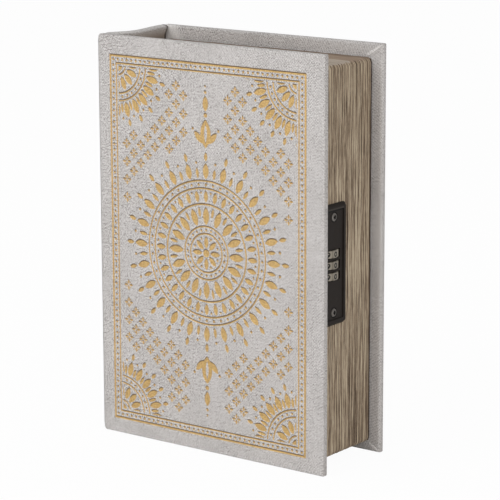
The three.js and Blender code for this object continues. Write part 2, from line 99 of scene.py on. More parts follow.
# One output of a new node, in the tree of the first socket among its inputs
def joined(kind, inputs, output=0, **settings):
    inputs = dict(inputs)
    tree = next(value.id_data for value in inputs.values() if isinstance(value, bpy.types.NodeSocket))
    return addNode(tree, kind, inputs, **settings).outputs[output]


def calc(operation, *values, clamp=False):
    return joined("Math", enumerate(values), operation=operation, use_clamp=clamp)


def plus(*values):
    return calc("ADD", *values)


def minus(*values):
    return calc("SUBTRACT", *values)


def times(*values, clamp=False):
    return calc("MULTIPLY", *values, clamp=clamp)


# A value from 0 to 1 as a swing to both sides of nought
def swing(value, size):
    return times(minus(value, 0.5), size)


def mixValue(factor, low, high):
    return joined("Mix", {0: factor, 2: low, 3: high}, data_type="FLOAT")


def mixColour(factor, low, high):
    return joined("Mix", {0: factor, 6: low, 7: high}, 2, data_type="RGBA")


def noise(vector, scale, detail=2.0, roughness=0.5):
    return joined("TexNoise", {"Vector": vector, "Scale": scale, "Detail": detail, "Roughness": roughness})


def stretched(vector, scale):
    return joined("Mapping", {"Vector": vector, "Scale": scale})


def ranged(value, low, high, toLow=0.0, toHigh=1.0):
    inputs = {0: value, 1: low, 2: high, 3: toLow, 4: toHigh}
    return joined("MapRange", inputs, interpolation_type="SMOOTHSTEP")


def ramp(factor, stops):
    node = addNode(factor.id_data, "ValToRGB", {0: factor})
    elements = node.color_ramp.elements
    while len(elements) < len(stops):
        elements.new(0.5)
    for element, (place, tone) in zip(elements, stops):
        element.position = place
        element.color = tone
    return node.outputs[0]


def bump(height, strength, distance):
    return joined("Bump", {"Height": height, "Strength": strength, "Distance": distance})


def parts(vector):
    return addNode(vector.id_data, "SeparateXYZ", {0: vector}).outputs


def attribute(tree, name):
    return addNode(tree, "Attribute", attribute_name=name).outputs["Fac"]


# Mesh helpers

# Quads between neighbouring points of a grid; closed columns join the last one to the first
def gridQuads(rows, columns, closed=False, flip=False):
    row, column = np.meshgrid(np.arange(rows - 1), np.arange(columns if closed else columns - 1),
                              indexing="ij")
    here, there, nextColumn = row * columns, (row + 1) * columns, (column + 1) % columns
    quads = np.stack([here + column, there + column, there + nextColumn, here + nextColumn], -1)
    quads = quads.reshape(-1, 4)
    return quads[:, ::-1] if flip else quads


def newObject(name, data):
    thing = bpy.data.objects.new(name, data)
    bpy.context.scene.collection.objects.link(thing)
    return thing


# A mesh object from points, quads and a few caps with more corners; outward turns a closed one's
# faces out, and each further value is stored at the points
def meshPiece(name, points, quads, material, body, slot="cloth", uv=None, caps=(), outward=False,
              **values):
    corners = np.concatenate([quads.ravel(), *caps]).astype(np.int32)
    sizes = np.array([4] * len(quads) + [len(cap) for cap in caps])
    starts = np.concatenate([[0], np.cumsum(sizes)[:-1]]).astype(np.int32)
    points = np.asarray(points, np.float32).reshape(-1, 3)
    mesh = bpy.data.meshes.new(name)
    mesh.vertices.add(len(points))
    mesh.vertices.foreach_set("co", points.ravel())
    mesh.loops.add(len(corners))
    mesh.loops.foreach_set("vertex_index", corners)
    mesh.polygons.add(len(sizes))
    mesh.polygons.foreach_set("loop_start", starts)
    mesh.update(calc_edges=True)
    mesh.shade_smooth()
    if uv is not None:
        uv = uv.reshape(-1, 2)[corners].astype(np.float32)
        mesh.uv_layers.new(name="cloth").uv.foreach_set("vector", uv.ravel())
    for key, value in values.items():
        value = value.astype(np.float32)
        mesh.attributes.new(key, "FLOAT", "POINT").data.foreach_set("value", value.ravel())
    if outward:
        shell = bmesh.new()
        shell.from_mesh(mesh)
        bmesh.ops.recalc_face_normals(shell, faces=shell.faces)
        shell.to_mesh(mesh)
        shell.free()
    mesh.materials.append(material)
    piece = newObject(name, mesh)
    if body:
        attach(piece, body)
    return piece


# Rings carried along a path, closed by a cap at both ends
def tubePiece(name, points, material, body, **values):
    rows, columns = points.shape[:2]
    caps = [np.arange(columns), (rows - 1) * columns + np.arange(columns)]
    quads = gridQuads(rows, columns, closed=True)
    return meshPiece(name, points, quads, material, body, caps=caps, outward=True, **values)


# Several grids in one mesh: points, quads and any maps put end to end
def joinGrids(*grids):
    points, quads, *maps = zip(*grids)
    offsets = np.cumsum([0, *map(len, points[:-1])])
    quads = [part + offset for part, offset in zip(quads, offsets)]
    return [np.concatenate(part) for part in (points, quads, *maps)]


# Length walked from the first point to each
def walkedAlong(points):
    steps = np.linalg.norm(np.diff(points, axis=0), axis=-1)
    return np.concatenate([0 * steps[:1], np.cumsum(steps, 0)])


# Unit direction to the right of a flat path at each of its points
def sideways(path):
    tangent = np.gradient(path, axis=0)
    tangent /= np.linalg.norm(tangent, axis=1, keepdims=True)
    return np.stack([tangent[:, 1], -tangent[:, 0]], 1)


# Linen

linen = {
    "pitch": 0.85 * mm,
    "relief": 0.12 * mm,
    "wander": 1.1,
    "wanderScale": 260.0,
    "fleckScale": 800.0,
    "grainScale": 1200.0,
    "mottleScale": 35.0,
    "grainReach": 80 * mm,
    "nearGrain": 2.4,
    "farGrain": 1.32,
    "backGrain": 1.05,
    "spineLightStart": 7 * mm,
    "spineLightEnd": 16 * mm,
    "spineLightShare": 0.62,
    "turnSoft": 1 * mm,
    "edgeLightReach": 2.4 * mm,
    "edgeLightShare": 0.13,
    "light": shade(216, 213, 211),
    "middle": shade(186, 182, 180),
    "gap": shade(112, 106, 102),
    "gold": shade(218, 184, 122),
    "goldDeep": shade(154, 122, 76),
    "wallShade": shade(84, 66, 46),
    "highlight": shade(240, 237, 234),
    "lining": shade(182, 168, 155),
    "liningDeep": shade(142, 129, 117),
    "crease": shade(70, 62, 57),
}


# Plain weave on the cloth map: thread heights are sines across the threads, and which one
# lies on top follows the sign of their product; tones run along the threads. The back cover's
# cloth has painted light: it is paler on its turn-in beside the spine, where shade would fall,
# and has a painted highlight band along its fore-edge. A share of painted light pales any cloth
def linenMaterial(name, gilded=False, lined=False, paintedBackLight=False, wearAndPaintedLight=0.0):
    material, tree, shader = startMaterial(name)
    place = addNode(tree, "UVMap", uv_map="cloth").outputs[0]
    wander = joined("TexNoise", {"Vector": place, "Scale": linen["wanderScale"], "Detail": 2.0}, 1)
    reach = np.full(3, linen["wander"])
    shift = joined("VectorMath", {0: wander, 1: reach, 2: -reach / 2}, operation="MULTIPLY_ADD")
    threads = joined("VectorMath", {0: place, 3: 1 / linen["pitch"]}, operation="SCALE")
    threads = joined("VectorMath", {0: threads, 1: shift}, operation="ADD")
    across, along = (calc("SINE", times(part, np.pi)) for part in parts(threads)[:2])
    warp, weft = calc("ABSOLUTE", across), calc("ABSOLUTE", along)
    onTop = ranged(times(across, along), -0.2, 0.2)
    warpHeight = times(calc("POWER", warp, 0.6), calc("POWER", weft, 0.25))
    weftHeight = times(calc("POWER", weft, 0.6), calc("POWER", warp, 0.25))
    height = mixValue(onTop, weftHeight, warpHeight)
    warpTone = noise(stretched(threads, (1.0, 0.14, 1.0)), 0.9, 3.0, 0.6)
    weftTone = noise(stretched(threads, (0.14, 1.0, 1.0)), 0.9, 3.0, 0.6)
    tone = mixValue(onTop, weftTone, warpTone)
    fleck = noise(place, linen["fleckScale"], 2.0, 0.6)
    grain = noise(place, linen["grainScale"], 2.0, 0.6)
    mottle = noise(place, linen["mottleScale"], 3.0, 0.6)
    mapAcross, mapAlong, _ = parts(place)
    farGrain = linen["backGrain"] if paintedBackLight else linen["farGrain"]
    grainShare = ranged(mapAcross, -linen["grainReach"], linen["grainReach"], linen["nearGrain"], farGrain)
    level = plus(times(height, 0.4), times(tone, 0.7))
    for speckle, share in ((onTop, 0.22), (grain, grainShare), (fleck, 0.4), (mottle, 0.25)):
        level = plus(level, swing(speckle, share))
    colour = ramp(level, [(0.2, linen["gap"]), (0.58, linen["middle"]), (0.95, linen["light"])])
    if paintedBackLight:
        # Painted light: the turn-in beside the spine is made paler where shade would fall, and a band
        # along the fore-edge is a painted highlight
        spineLightReach = (backLow.x + linen["spineLightEnd"], backLow.x + linen["spineLightStart"])
        pastEnds = minus(calc("ABSOLUTE", minus(mapAlong, bookTop / 2)), bookTop / 2)
        turnedIn = calc("MAXIMUM", pastEnds, minus(backLow.x, mapAcross))
        wearAndPaintedLight = times(ranged(mapAcross, *spineLightReach, 0.0, linen["spineLightShare"]),
                     ranged(turnedIn, linen["turnSoft"], coverThickness))
        fromEdge = calc("ABSOLUTE", minus(mapAcross, backHigh.x + coverThickness))
        wearAndHighlight = ranged(fromEdge, linen["edgeLightReach"], linen["edgeLightReach"] / 3, 0.0, linen["edgeLightShare"])
        wearAndPaintedLight = calc("MAXIMUM", wearAndPaintedLight, wearAndHighlight)
    # Painted highlight: a share of paler cloth mixed in
    colour = mixColour(wearAndPaintedLight, colour, linen["highlight"])
    if lined:
        # Painted highlight on the roll's crown; below it a browner lining colour, darkened as painted
        # shade
        side = attribute(tree, "lined")
        colour = mixColour(times(side, -0.2, clamp=True), colour, linen["highlight"])
        lining = mixColour(fleck, linen["liningDeep"], linen["lining"])
        colour = mixColour(times(side, 1.0, clamp=True), colour, lining)
        # Painted shade: a dark line in the crease beside the back cover
        colour = mixColour(attribute(tree, "crease"), colour, linen["crease"])
    finish = {"Roughness": 0.9, "Sheen Weight": 0.12, "Sheen Roughness": 0.5, "Specular IOR Level": 0.2}
    relief = height
    if gilded:
        foil = ranged(plus(attribute(tree, "gilt"), swing(fleck, 0.12)), 0.05, -0.05)
        wearAndHighlight = ranged(plus(height, fleck), 0.42, 0.62)
        foil = times(foil, plus(times(wearAndHighlight, 0.35), 0.65))
        glint = plus(times(tone, 0.5), times(grain, 0.7))
        gold = mixColour(ranged(glint, 0.35, 0.8), linen["goldDeep"], linen["gold"])
        # Painted shade: pressed walls that face down are darkened, on the foil and on the cloth
        facing = parts(addNode(tree, "NewGeometry").outputs["Normal"])[2]
        shaded = ranged(facing, -0.1, -0.45, 0.0, 0.85)
        colour = mixColour(shaded, mixColour(foil, colour, gold), linen["wallShade"])
        finish["Metallic"] = times(foil, 0.4)
        finish["Roughness"] = mixValue(foil, 0.9, plus(times(fleck, 0.2), 0.34))
        relief = times(height, minus(1.0, times(foil, 0.6)))
    fill(shader, {**finish, "Base Color": colour, "Normal": bump(relief, 0.55, linen["relief"])})
    return material


plainLinen = linenMaterial("linen")
gildedLinen = linenMaterial("gilded_linen", gilded=True)
spineCloth = linenMaterial("spine_linen", lined=True)
# Painted highlight on the folds: their cloth is paler all over
foldLinen = linenMaterial("fold_linen", wearAndPaintedLight=0.45)
# The back cover's cloth carries painted light beside the spine and along its fore-edge
backCloth = linenMaterial("back_linen", paintedBackLight=True)

# Covers

cover = {
    "edgeRound": 0.9 * mm,
    "backRound": 1.5 * mm,
    "faceRound": 1.2 * mm,
    "spineRound": 3.5 * mm,
    "faceInset": 3.6 * mm,
    "turnIn": 15.0 * mm,
    "clothStep": 0.55 * mm,
    "stepRound": 0.15 * mm,
    "stepRun": 0.2 * mm,
    "foreCorner": 0.8 * mm,
    "spineCorner": 3.0 * mm,
    "arcPoints": 9,
    "longPoints": 90,
    "shortPoints": 60,
}


# Inset and depth across the edge: flat, quarter ellipse, straight, quarter round, flat turn-in
# and a step down to the lining; spine runs from 0 to 1 where the outer round grows
def coverProfile(spine, innerRound):
    outer = cover["edgeRound"] + (cover["spineRound"] - cover["edgeRound"]) * spine
    soft = cover["faceRound"] + (cover["spineRound"] - cover["faceRound"]) * spine
    inner = np.minimum(innerRound, coverThickness - outer)
    bend = np.linspace(0, np.pi / 2, 8)[:, None]
    level = np.ones_like(spine)
    flat = [cover["faceInset"] * level, (soft + 0.1 * (cover["faceInset"] - soft))]
    turnIn = [inner + share * (cover["turnIn"] - inner) for share in (0.05, 0.35, 0.65, 0.97, 1.0)]
    runs = [(cover["turnIn"] + cover[key]) * level for key in ("stepRound", "stepRun")]
    steps = [(coverThickness - cover[key]) * level for key in ("stepRound", "clothStep")]
    inset = np.vstack([*flat, soft * (1 - np.sin(bend)), inner * (1 - np.cos(bend)), *turnIn, *runs])
    depth = np.vstack([0 * level, 0 * level, outer * (1 - np.cos(bend)),
                       coverThickness - inner * (1 - np.sin(bend)),
                       *[coverThickness * level] * len(turnIn), *steps])
    return inset, depth


# Rounded rectangle carried in by the inset: arcs about centres that move in once the radius is
# used up, straight lines between them, and the profile's depth under each point
def coverEdge(box, outerY, toward, innerRound):
    left, bottom, right, top = box
    turn = np.linspace(0, 1, cover["arcPoints"])
    still = np.zeros_like(turn)
    spineSide, foreSide = cover["spineCorner"], cover["foreCorner"]
    corners = [(left, bottom, 1, 1, 2, spineSide, 1 - turn), (right, bottom, -1, 1, 3, foreSide, still),
               (right, top, -1, -1, 0, foreSide, still), (left, top, 1, -1, 1, spineSide, turn)]
    arcs = []
    for x, z, inX, inZ, quarter, radius, spine in corners:
        inset, depth = coverProfile(spine, innerRound)
        reach, small = np.maximum(radius, inset + tiny), np.maximum(radius - inset, tiny)
        bearing = (quarter + turn) * np.pi / 2 + 0 * inset
        arcs.append(np.stack([x + inX * reach + small * np.cos(bearing),
                              z + inZ * reach + small * np.sin(bearing), depth, bearing], -1))
    strips = []
    for index, arc in enumerate(arcs):
        count = cover["shortPoints"] if index % 2 == 0 else cover["longPoints"]
        share = np.linspace(0, 1, count + 2)[1:-1, None]
        start, end = arc[:, -1:], arcs[(index + 1) % 4][:, :1]
        side = start + (end - start) * share
        side[..., 3] = start[..., 3]
        strips += [arc, side]
    x, z, depth, bearing = np.moveaxis(np.concatenate(strips, 1), -1, 0)
    points = np.stack([x, outerY + toward * depth, z], -1)
    run = walkedAlong(points)
    uv = np.stack([x[0] + np.cos(bearing) * run, z[0] + np.sin(bearing) * run], -1)
    quads = gridQuads(*x.shape, closed=True, flip=toward < 0)
    return points.reshape(-1, 3), quads, uv.reshape(-1, 2)


# Flat face inside the edge's seam, as a plain grid
def coverFace(box, outerY, columns, rows, outside):
    left, bottom, right, top = box
    inset = cover["faceInset"]
    x, z = np.meshgrid(np.linspace(left + inset, right - inset, columns),
                       np.linspace(bottom + inset, top - inset, rows))
    points = np.stack([x, np.full_like(x, outerY), z], -1).reshape(-1, 3)
    return points, gridQuads(rows, columns, flip=outside < 0), np.stack([x, z], -1).reshape(-1, 2)


frontBox = (frontLow.x, frontLow.z, frontHigh.x, frontHigh.z)
backBox = (backLow.x, backLow.z, backHigh.x, backHigh.z)
points, quads, uv = coverEdge(frontBox, frontLow.y, 1, cover["edgeRound"])
frontEdge = meshPiece("front_cover_linen", points, quads, plainLinen, "front_cover", uv=uv)
points, quads, uv = joinGrids(coverEdge(backBox, backHigh.y, -1, cover["backRound"]),
                              coverFace(backBox, backHigh.y, 40, 60, 1))
backLinen = meshPiece("back_cover_linen", points, quads, backCloth, "case", uv=uv)
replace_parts(frontEdge, "front_cover_cloth")
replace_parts(backLinen, "back_cover_cloth")

folds = {
    "start": (0.8 * mm, 0.8 * mm),
    "headEnd": (11.9 * mm, 8.0 * mm),
    "tailEnd": (7.6 * mm, 4.9 * mm),
    "width": 1.8 * mm,
    "height": 0.5 * mm,
    "stations": 28,
    "ringPoints": 12,
}


# Folded corner of the turned-in cloth: an elliptical ridge along the mitre, half sunk in the
# cover's inner face, whose width and height follow a flattened sine from end to end
def cornerFold(corner, inward, end, faceY, toward):
    share = np.linspace(0, 1, folds["stations"])[:, None]
    start, stop = (corner + np.array(inward) * reach for reach in (folds["start"], end))
    length = np.linalg.norm(stop - start)
    along = (stop - start) / length
    bearing = np.linspace(0, 2 * np.pi, folds["ringPoints"], endpoint=False)
    swell = np.sin(np.pi * np.clip(share, 0.01, 0.99)) ** 0.5
    aside = folds["width"] / 2 * swell * np.cos(bearing)
    rise = folds["height"] * swell * np.sin(bearing)
    path = start + (stop - start) * share
    x = path[:, :1] - along[1] * aside
    z = path[:, 1:] + along[0] * aside
    points = np.stack([x, faceY + toward * rise, z], -1)
    uv = np.stack(np.broadcast_arrays(share * length, bearing * folds["width"] / 4), -1)
    quads = gridQuads(*x.shape, closed=True)
    return points.reshape(-1, 3), quads, uv.reshape(-1, 2)


# Head and tail folds of one cover, closed by caps at both ends
def coverFolds(name, box, faceY, toward, body):
    _, bottom, right, top = box
    points, quads, uv = joinGrids(cornerFold((right, top), (-1, -1), folds["headEnd"], faceY, toward),
                                  cornerFold((right, bottom), (-1, 1), folds["tailEnd"], faceY, toward))
    ring, count = np.arange(folds["ringPoints"]), len(points) // 2
    caps = [ring + offset for offset in (0, count - len(ring), count, 2 * count - len(ring))]
    return meshPiece(name, points, quads, foldLinen, body, uv=uv, caps=caps, outward=True)


coverFolds("front_cover_folds", frontBox, frontHigh.y, 1, "front_cover")
coverFolds("back_cover_folds", backBox, backLow.y, -1, "case")
print("covers done")

# Gilded face

# A centre-and-corner binding, in millimetres from the middle of the face
gilding = {
    "columns": 434,
    "rows": 648,
    "bands": 3,
    "centreX": -1.25 * mm,
    "centreZ": 118.75 * mm,
    "depth": 0.42 * mm,
    "wall": 0.7,
    "halfWidth": 69.8,
    "halfHeight": 109.3,
    "cornerX": 64.6,
    "cornerZ": 104.1,
    "flowerPitch": 10.6,
}
medallionRings = [
    ("beads", 1, 0, 2.3, 0), ("petals", 8, 6.4, 3.5, 1.5, 0), ("beads", 8, 8.8, 0.7, 0.5),
    ("line", 11.4, 0.9), ("beads", 24, 13.5, 0.75, 0), ("line", 15.6, 0.9),
    ("petals", 16, 21.8, 5.2, 2.2, 0), ("petals", 16, 24.2, 3.0, 0.95, 0.5), ("line", 28.6, 1.0),
    ("petals", 32, 33.2, 3.4, 1.5, 0), ("beads", 32, 35.4, 0.65, 0.5), ("line", 37.8, 0.9),
    ("beads", 48, 40.0, 0.8, 0), ("line", 42.2, 0.9), ("petals", 24, 48.0, 4.6, 2.1, 0),
    ("petals", 24, 46.8, 3.1, 1.1, 0.5), ("beads", 24, 52.8, 0.8, 0.5), ("petals", 24, 56.2, 2.6, 1.2, 0),
]
cornerRings = [
    ("beads", 1, 0, 3.8, 0), ("line", 6.0, 0.9), ("petals", 16, 11.5, 4.1, 1.8, 0), ("line", 16.9, 0.9),
    ("beads", 32, 19.0, 0.75, 0), ("line", 21.1, 0.9), ("petals", 24, 26.8, 4.6, 2.0, 0),
    ("petals", 24, 25.4, 3.0, 1.0, 0.5), ("beads", 24, 31.6, 0.75, 0.5), ("petals", 24, 34.6, 2.2, 1.1, 0),
]


# Pointed petal, the overlap of two equal circles: distance to its edge, below zero inside
def petal(along, aside, halfLength, halfWidth):
    along, aside = np.abs(along), np.abs(aside)
    circle = (halfLength ** 2 + halfWidth ** 2) / (2 * halfWidth)
    offset = circle - halfWidth
    tip = np.hypot(along - halfLength, aside)
    flank = np.hypot(along, aside + offset) - circle
    return np.where((along - halfLength) * offset > aside * halfLength, tip, flank)


# Distance to rings of petals, beads and lines about one centre: the bearing is folded into the
# share of one petal
def rosette(x, z, rings):
    radius, bearing = np.hypot(x, z), np.arctan2(x, z)
    nearest = np.full_like(x, 99.0)
    for kind, *sizes in rings:
        if kind == "line":
            middle, width = sizes
            distance = np.abs(radius - middle) - width / 2
        else:
            count, middle, *shape, turn = sizes
            step = 2 * np.pi / count
            folded = np.mod(bearing - turn * step + step / 2, step) - step / 2
            along, aside = radius * np.cos(folded) - middle, radius * np.sin(folded)
            if kind == "petals":
                distance = petal(along, aside, *shape)
            else:
                distance = np.hypot(along, aside) - shape[0]
        nearest = np.minimum(nearest, distance)
    return nearest


# Two frame lines with beads between them, where x and z are folded into one quarter
def frameLines(x, z):
    wide, high = gilding["halfWidth"], gilding["halfHeight"]
    lines = np.minimum(np.abs(np.maximum(x - wide, z - high)) - 0.65,
                       np.abs(np.maximum(x - wide + 4.4, z - high + 4.4)) - 0.45)
    inX, inZ = wide - 2.2, high - 2.2
    pitchX, pitchZ = inX / round(inX / 3.4), inZ / round(inZ / 3.4)
    nearX = x - pitchX * np.round(x / pitchX)
    nearZ = z - pitchZ * np.round(z / pitchZ)
    beads = np.minimum(np.hypot(nearX, z - inZ), np.hypot(x - inX, nearZ)) - 0.75
    outside = np.maximum(x - inX, z - inZ) - 1
    return np.minimum(lines, np.maximum(beads, outside))


# Small four-petal flowers on a staggered lattice, left out where another figure stands
def fieldFlowers(x, z):
    pitch, cornerX, cornerZ = (gilding[key] for key in ("flowerPitch", "cornerX", "cornerZ"))
    nearest = np.full_like(x, 99.0)
    for shiftX, shiftZ in ((0, 0), (0.5, 0.5)):
        atX = (np.round(x / pitch - shiftX) + shiftX) * pitch
        atZ = (np.round(z / pitch - shiftZ) + shiftZ) * pitch
        clear = (np.hypot(atX, atZ) > 62) & (np.hypot(cornerX - atX, cornerZ - atZ) > 40)
        clear &= (atX > 11) & (atX < 61) & (atZ < 100)
        flower = rosette(x - atX, z - atZ, [("petals", 4, 1.75, 1.4, 0.7, 0), ("beads", 4, 2.0, 0.4, 0.5)])
        nearest = np.minimum(nearest, np.where(clear, flower, 99.0))
    return nearest


# Pendants above and below the medallion, on the upright axis
def pendants(x, z):
    leaf = np.maximum(petal(z - 69.5, x, 8.2, 3.7), -petal(z - 69.5, x, 5.4, 1.0))
    figures = [leaf, np.hypot(x, z - 80.2) - 1.3, petal(z - 86.8, x, 4.4, 2.0),
               np.hypot(x, z - 93.4) - 0.9, np.hypot(x, z - 96.8) - 0.65]
    for sign in (-1, 1):
        slant = np.radians(42) * sign
        along = (z - 61.6) * np.cos(slant) + x * np.sin(slant)
        aside = x * np.cos(slant) - (z - 61.6) * np.sin(slant)
        figures += [petal(along - 7.6, aside, 4.4, 1.8), np.hypot(along - 13.8, aside) - 0.85]
    return np.minimum.reduce(figures)


def giltDistance(x, z):
    x, z = np.abs(x), np.abs(z)
    cornerX, cornerZ = gilding["cornerX"], gilding["cornerZ"]
    corner = rosette(cornerX - x, cornerZ - z, cornerRings)
    corner = np.maximum.reduce([corner, x - cornerX + 0.8, z - cornerZ + 0.8])
    return np.minimum.reduce([rosette(x, z, medallionRings), corner, frameLines(x, z), fieldFlowers(x, z),
                              pendants(x, z)])


# The face is a grid pressed in where the gilding lies: depth times a soft step of the distance
# to the figures' edges. Normals come from the slopes, so that the bands meet without a seam
def gildedFace(box, outerY):
    left, bottom, right, top = box
    inset = cover["faceInset"]
    across = np.linspace(left + inset, right - inset, gilding["columns"])
    up = np.linspace(bottom + inset, top - inset, gilding["rows"])
    x, z = np.meshgrid(across, up)
    distance = giltDistance((x - gilding["centreX"]) / mm, (z - gilding["centreZ"]) / mm)
    share = np.clip(0.5 - distance / gilding["wall"], 0, 1)
    press = gilding["depth"] * share * share * (3 - 2 * share)
    slopeZ, slopeX = np.gradient(press, up, across)
    normals = np.stack([slopeX, -np.ones_like(x), slopeZ], -1)
    normals /= np.linalg.norm(normals, axis=-1, keepdims=True)
    points = np.stack([x, outerY + press, z], -1)
    cuts = np.linspace(0, gilding["rows"] - 1, gilding["bands"] + 1).astype(int)
    pieces = []
    for index, (low, high) in enumerate(zip(cuts[:-1], cuts[1:])):
        part = slice(low, high + 1)
        quads = gridQuads(high + 1 - low, gilding["columns"], flip=True)
        piece = meshPiece(f"front_face_band_{index + 1}", points[part], quads, gildedLinen, "front_cover",
                          uv=np.stack([x, z], -1)[part], gilt=distance[part])
        piece.data.normals_split_custom_set_from_vertices(normals[part].reshape(-1, 3))
        pieces.append(piece)
    return pieces


faceBands = gildedFace(frontBox, frontLow.y)
print("gilded face done")

# Spine and joint

spine = {
    "thickness": 3.0 * mm,
    "hollow": 7.6 * mm,
    "round": 1.45 * mm,
    "roll": 1.5 * mm,
    "cap": 1.9 * mm,
    "capReach": 2.2 * mm,
    "crownFade": 0.5 * mm,
    "startGap": 0.2 * mm,
    "startLift": 0.1 * mm,
    "endGap": 0.45 * mm,
    "creaseStart": 2.0 * mm,
    "creaseEnd": 0.8 * mm,
    "creaseShare": 0.85,
    "drop": 2.4 * mm,
    "dropRun": 4.5 * mm,
    "stations": 90,
    "sidePoints": 50,
}
# Outer line seen from above, as shares of its depth and its run
spineLineShares = np.array([[0.04, 0], [0.15, 0.07], [0.6, 0.19], [0.94, 0.305], [1, 0.42],
                            [0.82, 0.6], [0.58, 0.79], [0.49, 0.9], [0.46, 1]])


# Smooth line through points: a Catmull-Rom cubic between each pair
def smoothLine(points, count):
    padded = np.vstack([2 * points[0] - points[1], points, 2 * points[-1] - points[-2]])
    place = np.linspace(0, len(points) - 1, count)
    index = np.minimum(place.astype(int), len(points) - 2)
    t = (place - index)[:, None]
    a, b, c, d = (padded[index + k] for k in range(4))
    square, cube = 2 * a - 5 * b + 4 * c - d, 3 * b - a - 3 * c + d
    return 0.5 * (2 * b + (c - a) * t + square * t ** 2 + cube * t ** 3)


# Strip section as (depth, height) points: each end is a round towards the outside and a longer
# elliptical roll towards the inside, which stands in by the cap's depth, fading down the height
# as a bell curve. The second value is 1 on the lining, whose browner colour is darkened as painted
# shade, -1 on the roll's crown, which is paler as a painted highlight, and 0 outside
def stripSection():
    thickness, radius, roll, height = spine["thickness"], spine["round"], spine["roll"], bookTop
    bend = np.linspace(0, np.pi / 2, 7)[1:-1]
    outer = np.linspace(radius, height - radius, spine["sidePoints"])
    inner = np.linspace(height - roll, roll, spine["sidePoints"])
    deep = thickness - radius
    sine, cosine = np.sin(bend), np.cos(bend)
    ring = np.vstack([
        np.stack([0 * outer, outer], 1),
        np.stack([radius - radius * cosine, height - radius + radius * sine], 1), [[radius, height]],
        np.stack([radius + deep * sine, height - roll + roll * cosine], 1),
        np.stack([thickness + 0 * inner, inner], 1),
        np.stack([radius + deep * cosine, roll - roll * sine], 1), [[radius, 0]],
        np.stack([radius - radius * sine, radius - radius * cosine], 1)])
    fromEnd = np.minimum(ring[:, 1], height - ring[:, 1]) - roll
    inside = np.clip((ring[:, 0] - radius) / deep, 0, 1)
    ring[:, 0] += spine["cap"] * inside * np.exp(-(np.maximum(fromEnd, 0) / spine["capReach"]) ** 2)
    lined = (inside > 0.2) * np.clip(fromEnd / spine["crownFade"], -1, 1)
    return ring, lined


# Strip carried along the spine line; its ends are lowered near the front cover, whose corner is round
def spinePiece():
    start, end = frontHigh.y + spine["startGap"], backLow.y - spine["endGap"]
    line = np.stack([frontLow.x + spineLineShares[:, 0] * spine["hollow"],
                     spineLow.y + spineLineShares[:, 1] * (spineHigh.y - spineLow.y)], 1)
    line = np.vstack([[line[0, 0] - spine["startLift"], start], line[:-1], [line[-1, 0], end]])
    path = smoothLine(line, spine["stations"])
    ring, lined = stripSection()
    near = np.clip(1 - (path[:, 1:] - start) / spine["dropRun"], 0, 1)
    z = ring[:, 1] + spine["drop"] * near ** 2 * (1 - 2 * ring[:, 1] / bookTop)
    points = np.dstack([path[:, None] + sideways(path)[:, None] * ring[:, :1], z])
    length = walkedAlong(path)
    uv = np.stack(np.broadcast_arrays(length[:, None], walkedAlong(ring)), -1)
    rows, columns = z.shape
    # Painted shade along the crease at the back end, fading over a few millimetres
    fromBack = (length[-1] - length - spine["creaseEnd"]) / (spine["creaseStart"] - spine["creaseEnd"])
    crease = spine["creaseShare"] * np.repeat(np.clip(1 - fromBack, 0, 1), columns)
    return tubePiece("spine_linen", points, spineCloth, "case", uv=uv, lined=np.tile(lined, rows),
                     crease=crease)


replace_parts(spinePiece(), "spine_cloth")

joint = {
    "thickness": 0.45 * mm,
    "backing": 0.04 * mm,
    "rise": 2.6 * mm,
    "riseRun": 4.5 * mm,
    "endGap": 0.5 * mm,
    "stations": 24,
    "levels": 80,
    "blendStart": -0.3 * mm,
    "blendEnd": 0.9 * mm,
}
# Its line seen from above, from the front cover's inner corner
jointLine = mm * np.array([[0.55, -2.75], [0.02, -1.6], [-0.02, -0.4], [0.06, 0.9], [0.36, 2.2],
                           [0.8, 3.6]])


# Cloth over the gap between the cover's rounded edge and the spine: a lens-shaped sheet on a
# smooth line, thinned to nothing at both sides, with its ends following the corner's round
def jointPiece():
    left, inner = frontLow.x, frontHigh.y
    path = smoothLine(jointLine + [left, inner], joint["stations"])
    inward = sideways(path)
    share = np.linspace(0, 1, joint["stations"])
    thick = joint["thickness"] * np.sqrt(np.clip(1 - (2 * share - 1) ** 2, 0, 1)) + tiny
    ring = np.vstack([path - joint["backing"] * inward, (path + inward * thick[:, None])[::-1]])
    fade = np.clip(1 - (ring[:, 1] - inner) / joint["riseRun"], 0, 1) ** 2
    high = joint["rise"] * np.where(ring[:, 1] < inner, 1, fade) + joint["endGap"]
    level = np.linspace(0, 1, joint["levels"])[:, None]
    z = high + level * (bookTop - 2 * high)
    points = np.dstack([np.broadcast_to(ring, (joint["levels"], *ring.shape)), z])
    uv = np.stack(np.broadcast_arrays(walkedAlong(ring), z), -1)
    piece = tubePiece("joint_linen", points, plainLinen, None, uv=uv)
    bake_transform(piece)
    return piece


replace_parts(jointPiece(), "joint_cloth")
print("spine done")

# Page edges

